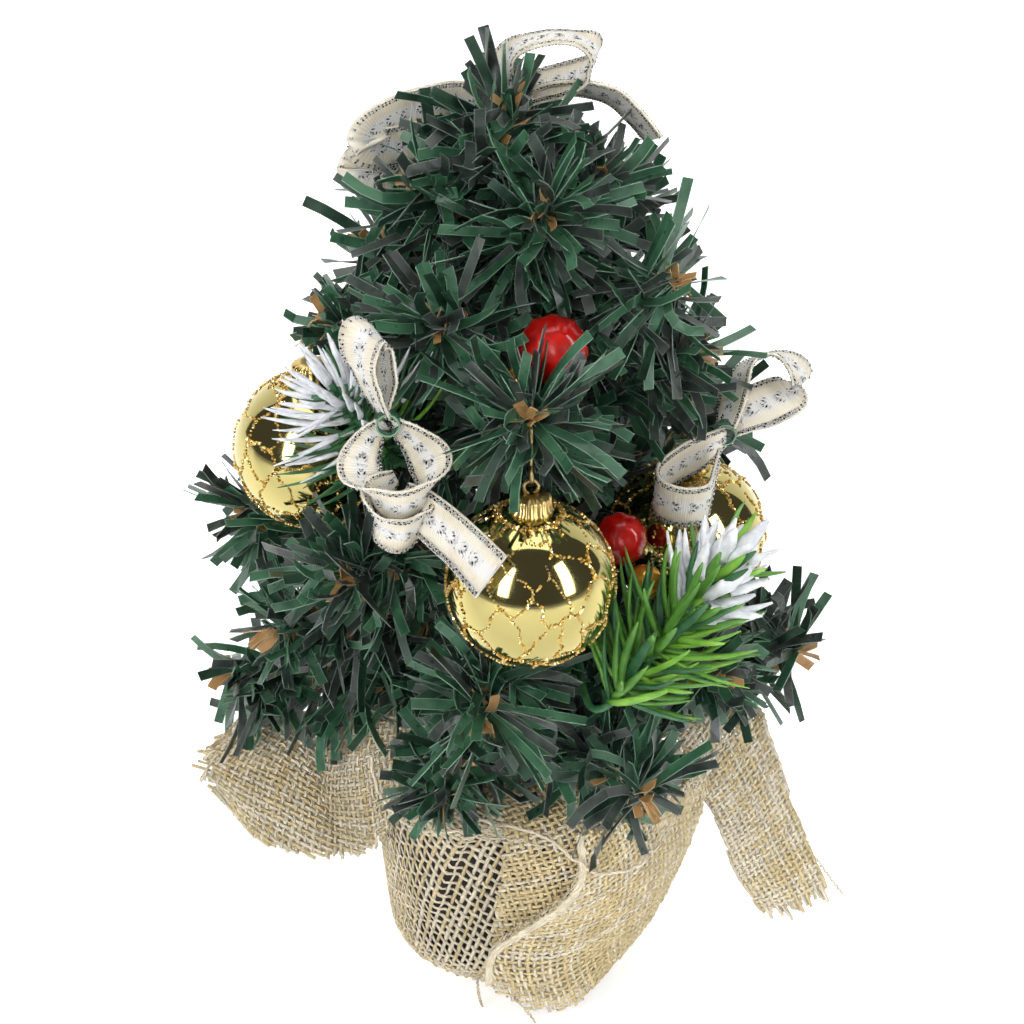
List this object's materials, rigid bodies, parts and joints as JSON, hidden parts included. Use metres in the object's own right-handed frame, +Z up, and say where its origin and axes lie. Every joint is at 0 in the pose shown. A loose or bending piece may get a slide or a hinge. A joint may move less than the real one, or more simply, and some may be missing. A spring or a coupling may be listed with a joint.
{
  "type": "artificial tabletop tree",
  "caption": "Small artificial tabletop tree with bendable tinsel branches, gold baubles, ribbon bows and pine picks, standing in a weighted pot wrapped in burlap.",
  "frame": {"origin": "centre of the flat underside of the burlap-wrapped base, where the tree rests", "axes": "+Z up along the trunk, +X to the right and -Y to the front of the decorated side"},
  "size_m": [0.1255, 0.1232, 0.1955],
  "materials": {
    "needles": "satin",
    "burlap": "matte",
    "pot": "matte",
    "cement": "matte",
    "wire": "satin",
    "wrap": "matte",
    "gold": "polished",
    "gold_cap": "satin",
    "ribbon": "satin",
    "pick": "satin",
    "berry": "gloss"
  },
  "bodies": {
    "stand": {"base_pot": "pot", "cement_weight": "cement", "trunk_rod": "wire", "trunk_wrap": "wrap", "burlap_wrap": "burlap", "neck_tie": "wire", "burlap_left_wing": "burlap", "burlap_front_drape": "burlap", "burlap_back_wing": "burlap", "burlap_right_tail": "burlap", "bow_left": "ribbon", "bow_right": "ribbon", "bow_back": "ribbon", "bow_top": "ribbon", "berry_front": "berry", "berry_right": "berry"},
    "branch_1_1": {"branch_1_1": "needles"},
    "branch_1_2": {"branch_1_2": "needles"},
    "branch_1_3": {"branch_1_3": "needles"},
    "branch_1_4": {"branch_1_4": "needles"},
    "branch_1_5": {"branch_1_5": "needles"},
    "branch_2_1": {"branch_2_1": "needles"},
    "branch_2_2": {"branch_2_2": "needles"},
    "branch_2_3": {"branch_2_3": "needles"},
    "branch_2_4": {"branch_2_4": "needles"},
    "branch_2_5": {"branch_2_5": "needles"},
    "branch_3_1": {"branch_3_1": "needles"},
    "branch_3_2": {"branch_3_2": "needles"},
    "branch_3_3": {"branch_3_3": "needles"},
    "branch_4_1": {"branch_4_1": "needles", "bauble_front_hook": "wire"},
    "bauble_front": {"bauble_front_ball": "gold", "bauble_front_cap": "gold_cap"},
    "branch_4_2": {"branch_4_2": "needles", "bauble_right_hook": "wire"},
    "bauble_right": {"bauble_right_ball": "gold", "bauble_right_cap": "gold_cap"},
    "branch_4_3": {"branch_4_3": "needles", "bauble_back_hook": "wire"},
    "bauble_back": {"bauble_back_ball": "gold", "bauble_back_cap": "gold_cap"},
    "branch_4_4": {"branch_4_4": "needles", "bauble_left_hook": "wire"},
    "bauble_left": {"bauble_left_ball": "gold", "bauble_left_cap": "gold_cap"},
    "branch_5_1": {"branch_5_1": "needles"},
    "branch_5_2": {"branch_5_2": "needles"},
    "branch_5_3": {"branch_5_3": "needles"},
    "branch_5_4": {"branch_5_4": "needles"},
    "branch_6_1": {"branch_6_1": "needles"},
    "branch_6_2": {"branch_6_2": "needles"},
    "branch_6_3": {"branch_6_3": "needles"},
    "branch_6_4": {"branch_6_4": "needles"},
    "branch_leader": {"branch_leader": "needles"},
    "pick_right": {"pick_right_stem": "wire", "pick_right_sprig": "pick"},
    "pick_left": {"pick_left_stem": "wire", "pick_left_sprig": "pick"},
    "pick_back": {"pick_back_stem": "wire", "pick_back_sprig": "pick"}
  },
  "joints": [
    {"name": "branch_1_1_bend", "type": "hinge", "parent": "stand", "child": "branch_1_1", "pos_m": [-0.00142, -0.00438, 0.06], "axis": [-0.9511, 0.309, 0], "range_deg": [-8, 18]},
    {"name": "branch_1_2_bend", "type": "hinge", "parent": "stand", "child": "branch_1_2", "pos_m": [0.00244, -0.0039, 0.06], "axis": [-0.848, -0.5299, 0], "range_deg": [-8, 26]},
    {"name": "branch_1_3_bend", "type": "hinge", "parent": "stand", "child": "branch_1_3", "pos_m": [0.0046, 0.00016, 0.06], "axis": [0.0349, -0.9994, 0], "range_deg": [-7, 18]},
    {"name": "branch_1_4_bend", "type": "hinge", "parent": "stand", "child": "branch_1_4", "pos_m": [0.00032, 0.00459, 0.06], "axis": [0.9976, -0.0698, 0], "range_deg": [-6, 40]},
    {"name": "branch_1_5_bend", "type": "hinge", "parent": "stand", "child": "branch_1_5", "pos_m": [-0.00458, 0.0004, 0.06], "axis": [0.0872, 0.9962, 0], "range_deg": [-7, 32]},
    {"name": "branch_2_1_bend", "type": "hinge", "parent": "stand", "child": "branch_2_1", "pos_m": [-0.00048, -0.00458, 0.076], "axis": [-0.9945, 0.1045, 0], "range_deg": [-17, 13]},
    {"name": "branch_2_2_bend", "type": "hinge", "parent": "stand", "child": "branch_2_2", "pos_m": [0.00358, -0.0029, 0.076], "axis": [-0.6293, -0.7771, 0], "range_deg": [-24, 6]},
    {"name": "branch_2_3_bend", "type": "hinge", "parent": "stand", "child": "branch_2_3", "pos_m": [0.00296, 0.00352, 0.076], "axis": [0.766, -0.6428, 0], "range_deg": [-30, 18]},
    {"name": "branch_2_4_bend", "type": "hinge", "parent": "stand", "child": "branch_2_4", "pos_m": [-0.00257, 0.00381, 0.076], "axis": [0.829, 0.5592, 0], "range_deg": [-30, 40]},
    {"name": "branch_2_5_bend", "type": "hinge", "parent": "stand", "child": "branch_2_5", "pos_m": [-0.00432, -0.00157, 0.076], "axis": [-0.342, 0.9397, 0], "range_deg": [-30, 15]},
    {"name": "branch_3_1_bend", "type": "hinge", "parent": "stand", "child": "branch_3_1", "pos_m": [-0.00308, -0.00342, 0.092], "axis": [-0.7431, 0.6691, 0], "range_deg": [-30, 25]},
    {"name": "branch_3_2_bend", "type": "hinge", "parent": "stand", "child": "branch_3_2", "pos_m": [0.00377, 0.00264, 0.092], "axis": [0.5736, -0.8192, 0], "range_deg": [-20, 40]},
    {"name": "branch_3_3_bend", "type": "hinge", "parent": "stand", "child": "branch_3_3", "pos_m": [-0.00459, 0.00032, 0.092], "axis": [0.0698, 0.9976, 0], "range_deg": [-30, 4]},
    {"name": "branch_4_1_bend", "type": "hinge", "parent": "stand", "child": "branch_4_1", "pos_m": [0.00032, -0.00459, 0.117], "axis": [-0.9976, -0.0698, 0], "range_deg": [-15, 2]},
    {"name": "bauble_front_swing", "type": "hinge", "parent": "branch_4_1", "child": "bauble_front", "pos_m": [0.00331, -0.04738, 0.1306], "axis": [-0.9976, -0.0698, 0], "range_deg": [-12, 35]},
    {"name": "branch_4_2_bend", "type": "hinge", "parent": "stand", "child": "branch_4_2", "pos_m": [0.00453, -0.0008, 0.117], "axis": [-0.1736, -0.9848, 0], "range_deg": [-5, 5]},
    {"name": "bauble_right_swing", "type": "hinge", "parent": "branch_4_2", "child": "bauble_right", "pos_m": [0.03348, -0.0059, 0.11626], "axis": [-0.1736, -0.9848, 0], "range_deg": [-12, 35]},
    {"name": "branch_4_3_bend", "type": "hinge", "parent": "stand", "child": "branch_4_3", "pos_m": [0.00016, 0.0046, 0.117], "axis": [0.9994, -0.0349, 0], "range_deg": [-35, 15]},
    {"name": "bauble_back_swing", "type": "hinge", "parent": "branch_4_3", "child": "bauble_back", "pos_m": [0.00161, 0.04597, 0.13246], "axis": [0.9994, -0.0349, 0], "range_deg": [-12, 35]},
    {"name": "branch_4_4_bend", "type": "hinge", "parent": "stand", "child": "branch_4_4", "pos_m": [-0.0045, -0.00096, 0.117], "axis": [-0.2079, 0.9781, 0], "range_deg": [-4, 8]},
    {"name": "bauble_left_swing", "type": "hinge", "parent": "branch_4_4", "child": "bauble_left", "pos_m": [-0.03717, -0.0079, 0.13604], "axis": [-0.2079, 0.9781, 0], "range_deg": [-3, 35]},
    {"name": "branch_5_1_bend", "type": "hinge", "parent": "stand", "child": "branch_5_1", "pos_m": [-0.00216, -0.00406, 0.136], "axis": [-0.8829, 0.4695, 0], "range_deg": [-35, 30]},
    {"name": "branch_5_2_bend", "type": "hinge", "parent": "stand", "child": "branch_5_2", "pos_m": [0.00426, -0.00172, 0.136], "axis": [-0.3746, -0.9272, 0], "range_deg": [-12, 20]},
    {"name": "branch_5_3_bend", "type": "hinge", "parent": "stand", "child": "branch_5_3", "pos_m": [0.00283, 0.00363, 0.136], "axis": [0.788, -0.6157, 0], "range_deg": [-40, 30]},
    {"name": "branch_5_4_bend", "type": "hinge", "parent": "stand", "child": "branch_5_4", "pos_m": [-0.00438, 0.00142, 0.136], "axis": [0.309, 0.9511, 0], "range_deg": [-30, 20]},
    {"name": "branch_6_1_bend", "type": "hinge", "parent": "stand", "child": "branch_6_1", "pos_m": [0.00157, -0.00432, 0.153], "axis": [-0.9397, -0.342, 0], "range_deg": [-30, 15]},
    {"name": "branch_6_2_bend", "type": "hinge", "parent": "stand", "child": "branch_6_2", "pos_m": [0.0046, 0.00016, 0.153], "axis": [0.0349, -0.9994, 0], "range_deg": [-40, 12]},
    {"name": "branch_6_3_bend", "type": "hinge", "parent": "stand", "child": "branch_6_3", "pos_m": [-0.00048, 0.00458, 0.153], "axis": [0.9945, 0.1045, 0], "range_deg": [-40, 12]},
    {"name": "branch_6_4_bend", "type": "hinge", "parent": "stand", "child": "branch_6_4", "pos_m": [-0.00456, -0.00064, 0.153], "axis": [-0.1392, 0.9903, 0], "range_deg": [-40, 15]},
    {"name": "branch_leader_bend", "type": "hinge", "parent": "stand", "child": "branch_leader", "pos_m": [0, 0, 0.167], "axis": [0, 1, 0], "range_deg": [-12, 12]},
    {"name": "pick_right_bend", "type": "hinge", "parent": "stand", "child": "pick_right", "pos_m": [0.00296, -0.00352, 0.084], "axis": [-0.9448, -0.3278, 0], "range_deg": [-20, 12]},
    {"name": "pick_left_bend", "type": "hinge", "parent": "stand", "child": "pick_left", "pos_m": [-0.00352, -0.00296, 0.108], "axis": [-0.801, 0.5987, 0], "range_deg": [-18, 14]},
    {"name": "pick_back_bend", "type": "hinge", "parent": "stand", "child": "pick_back", "pos_m": [-0.00377, 0.00264, 0.084], "axis": [0.5795, 0.815, 0], "range_deg": [-30, 30]}
  ]
}
